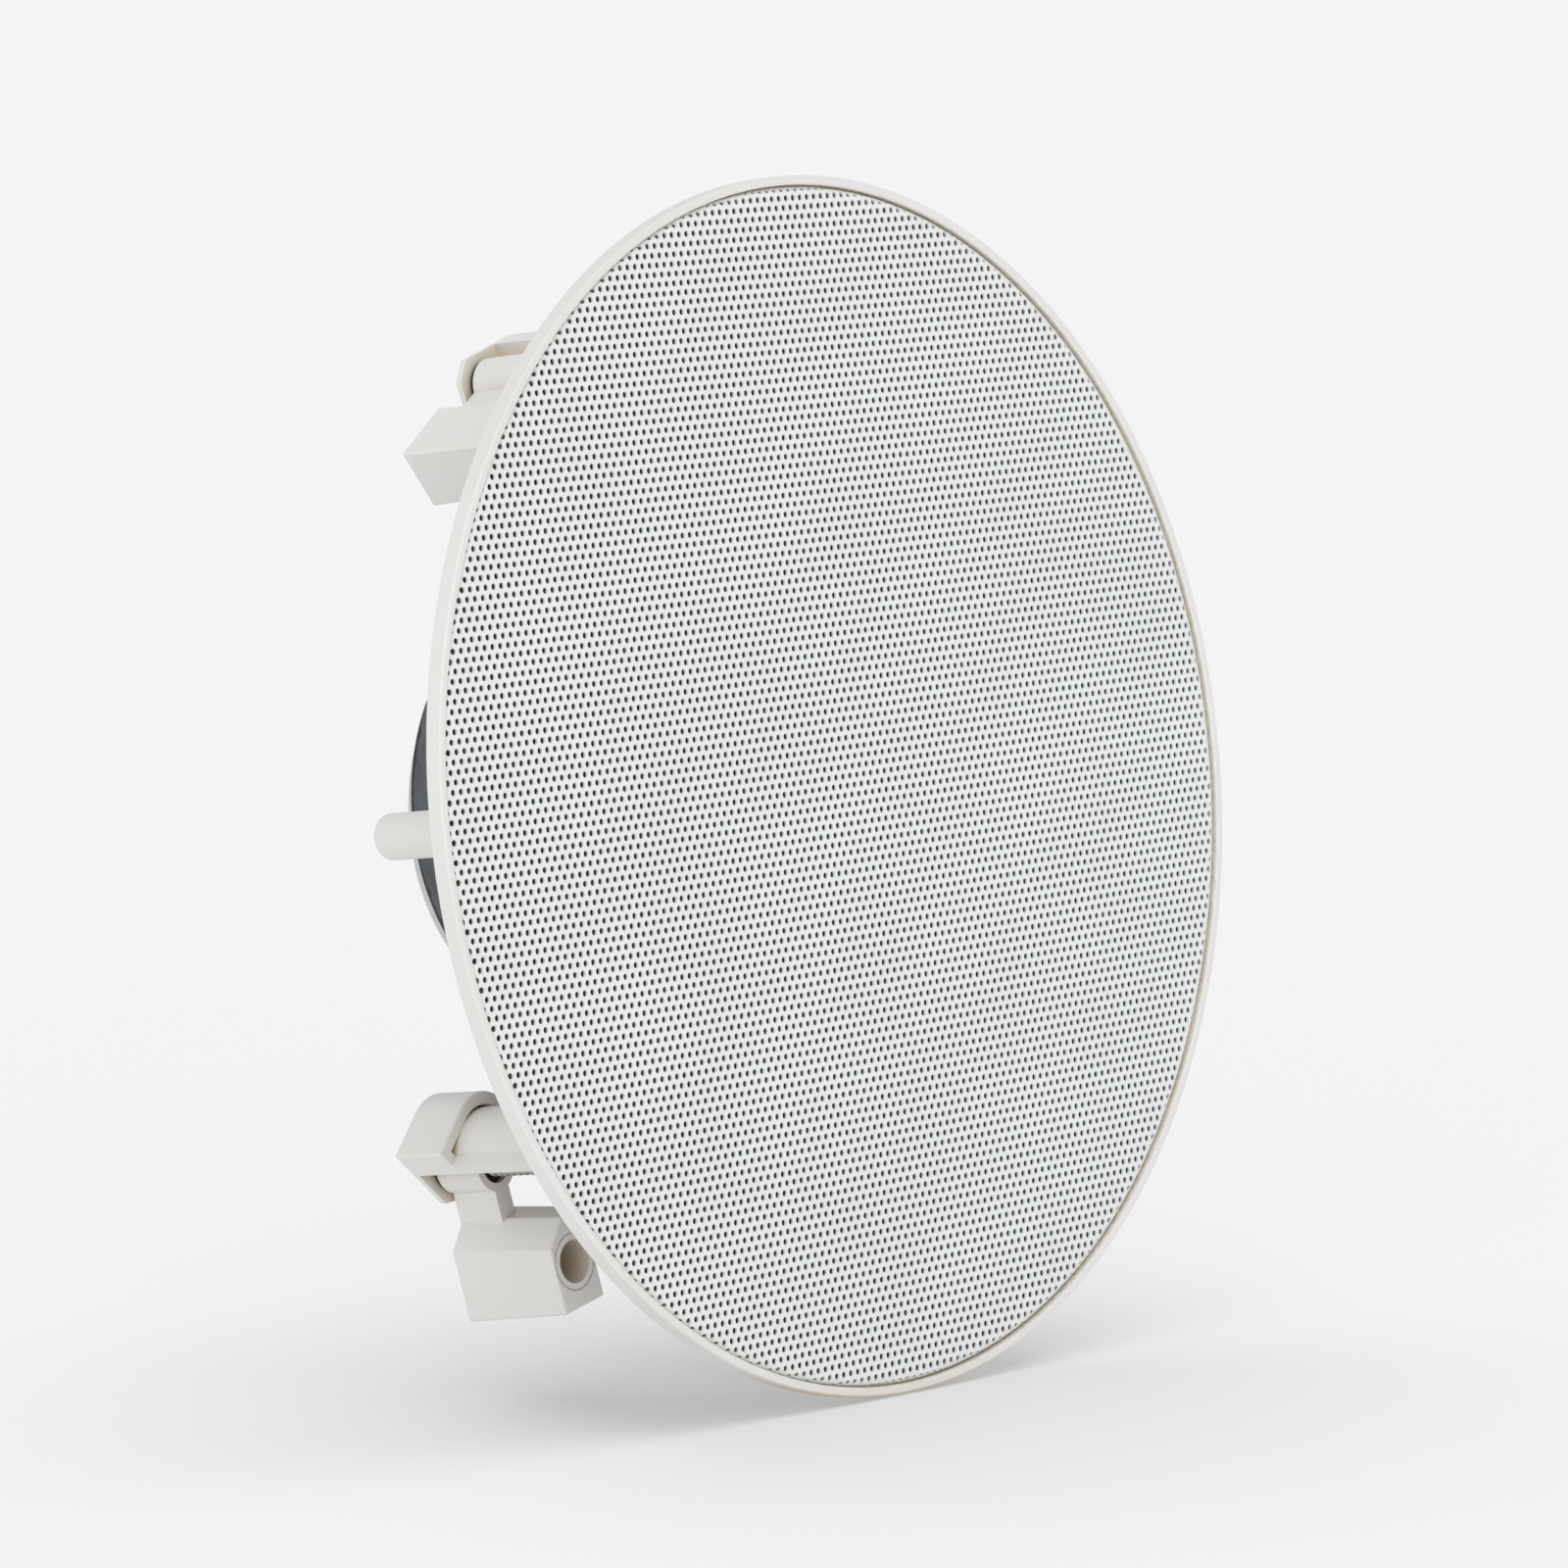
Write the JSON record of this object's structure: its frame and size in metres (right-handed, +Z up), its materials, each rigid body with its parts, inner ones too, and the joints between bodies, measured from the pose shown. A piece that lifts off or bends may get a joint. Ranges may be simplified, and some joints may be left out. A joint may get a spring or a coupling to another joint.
{
  "type": "in-ceiling speaker",
  "caption": "Round in-ceiling speaker with a thin rim, a perforated magnetic grille, a coaxial driver and screw-drawn swing-out clamps behind the flange.",
  "frame": {"origin": "centre of the flange's back face, which lies against the ceiling board", "axes": "the grille faces -Y, +Y runs into the ceiling along the barrel, +Z is up as pictured standing, +X is to the right seen from the front"},
  "size_m": [0.23, 0.0828, 0.23],
  "materials": {
    "frame_white": "fine satin moulding",
    "grille_white": "satin powder coat",
    "cloth_black": "open woven cloth",
    "nickel": "nickel plate",
    "zinc_steel": "bright zinc plate",
    "steel_dark": "dark phosphate",
    "basket_black": "black paint on pressed steel",
    "gasket_foam": "soft foam",
    "surround_rubber": "matt",
    "cone_paper": "dark pressed paper",
    "coil_former": "thin former with lacquered winding",
    "spider_cloth": "resin-dipped weave",
    "ferrite": "ground ferrite",
    "tag_board": "phenolic board",
    "copper_braid": "woven copper",
    "tweeter_black": "fine texture",
    "dome_silk": "coated silk",
    "board_green": "solder mask",
    "copper_coil": "lacquered winding on a bobbin",
    "capacitor_blue": "shrink sleeve",
    "resistor_white": "cement",
    "terminal_black": "moulded",
    "tab_red": "moulded",
    "tab_black": "moulded",
    "wire_red": "sleeved",
    "wire_black": "sleeved",
    "wire_grey": "sleeved"
  },
  "bodies": {
    "body": {"frame": "frame_white", "grille": "grille_white", "grille_cloth": "cloth_black", "grille_magnets": "nickel", "woofer_basket": "basket_black", "woofer_gasket": "gasket_foam", "woofer_screws": "zinc_steel", "top_plate": "zinc_steel", "ferrite_magnet": "ferrite", "back_plate": "zinc_steel", "woofer_surround": "surround_rubber", "spider": "spider_cloth", "tag_strip": "tag_board", "lead_braids": "copper_braid", "tweeter_post": "zinc_steel", "tweeter_housing": "tweeter_black", "tweeter_magnet": "nickel", "tweeter_trim": "tweeter_black", "tweeter_dome": "dome_silk", "crossover_board": "board_green", "board_screws": "zinc_steel", "inductor": "copper_coil", "capacitor": "capacitor_blue", "resistor": "resistor_white", "terminal_block": "terminal_black", "terminal_screws": "zinc_steel", "input_wire_red": "wire_red", "input_wire_black": "wire_black", "woofer_wires": "wire_grey", "tweeter_wire": "wire_grey"},
    "cone": {"woofer_cone": "cone_paper", "voice_coil": "coil_former"},
    "tab_red": {"terminal_tab_red": "tab_red"},
    "tab_black": {"terminal_tab_black": "tab_black"},
    "screw_1": {"clamp_screw_1": "zinc_steel", "screw_washer_1": "zinc_steel"},
    "bush_1": {"clamp_bush_1": "steel_dark"},
    "ear_1": {"clamp_ear_1": "frame_white"},
    "screw_2": {"clamp_screw_2": "zinc_steel", "screw_washer_2": "zinc_steel"},
    "bush_2": {"clamp_bush_2": "steel_dark"},
    "ear_2": {"clamp_ear_2": "frame_white"},
    "screw_3": {"clamp_screw_3": "zinc_steel", "screw_washer_3": "zinc_steel"},
    "bush_3": {"clamp_bush_3": "steel_dark"},
    "ear_3": {"clamp_ear_3": "frame_white"}
  },
  "joints": [
    {"name": "cone_travel", "type": "slide", "parent": "body", "child": "cone", "axis": [0, -1, 0], "range_m": [-0.003, 0.003], "stiffness_N_per_m": 2000, "deforming": ["woofer_surround", "spider", "lead_braids"]},
    {"name": "tab_red_press", "type": "slide", "parent": "body", "child": "tab_red", "axis": [0, -1, 0], "range_m": [0, 0.002], "stiffness_N_per_m": 400},
    {"name": "tab_black_press", "type": "slide", "parent": "body", "child": "tab_black", "axis": [0, -1, 0], "range_m": [0, 0.002], "stiffness_N_per_m": 400},
    {"name": "screw_turn_1", "type": "hinge", "parent": "body", "child": "screw_1", "pos_m": [-0.03677, 0.05, 0.07708], "axis": [0, 1, 0], "range_deg": [0, 4883]},
    {"name": "bush_draw_1", "type": "slide", "parent": "body", "child": "bush_1", "axis": [0, -1, 0], "range_m": [0, 0.0217]},
    {"name": "ear_swing_1", "type": "hinge", "parent": "bush_1", "child": "ear_1", "pos_m": [-0.03677, 0.05, 0.07708], "axis": [0, 1, 0], "range_deg": [-3, 109]},
    {"name": "screw_turn_2", "type": "hinge", "parent": "body", "child": "screw_2", "pos_m": [-0.04651, 0.05, -0.07162], "axis": [0, 1, 0], "range_deg": [0, 4883]},
    {"name": "bush_draw_2", "type": "slide", "parent": "body", "child": "bush_2", "axis": [0, -1, 0], "range_m": [0, 0.0217]},
    {"name": "ear_swing_2", "type": "hinge", "parent": "bush_2", "child": "ear_2", "pos_m": [-0.04651, 0.05, -0.07162], "axis": [0, 1, 0], "range_deg": [-58, 54]},
    {"name": "screw_turn_3", "type": "hinge", "parent": "body", "child": "screw_3", "pos_m": [0.08528, 0.05, -0.00447], "axis": [0, 1, 0], "range_deg": [0, 4883]},
    {"name": "bush_draw_3", "type": "slide", "parent": "body", "child": "bush_3", "axis": [0, -1, 0], "range_m": [0, 0.0217]},
    {"name": "ear_swing_3", "type": "hinge", "parent": "bush_3", "child": "ear_3", "pos_m": [0.08528, 0.05, -0.00447], "axis": [0, 1, 0], "range_deg": [-3, 109]}
  ],
  "couplings": [
    {"joint": "screw_turn_1", "follows": "bush_draw_1", "rad_per_m": 3927},
    {"joint": "screw_turn_2", "follows": "bush_draw_2", "rad_per_m": 3927},
    {"joint": "screw_turn_3", "follows": "bush_draw_3", "rad_per_m": 3927}
  ]
}
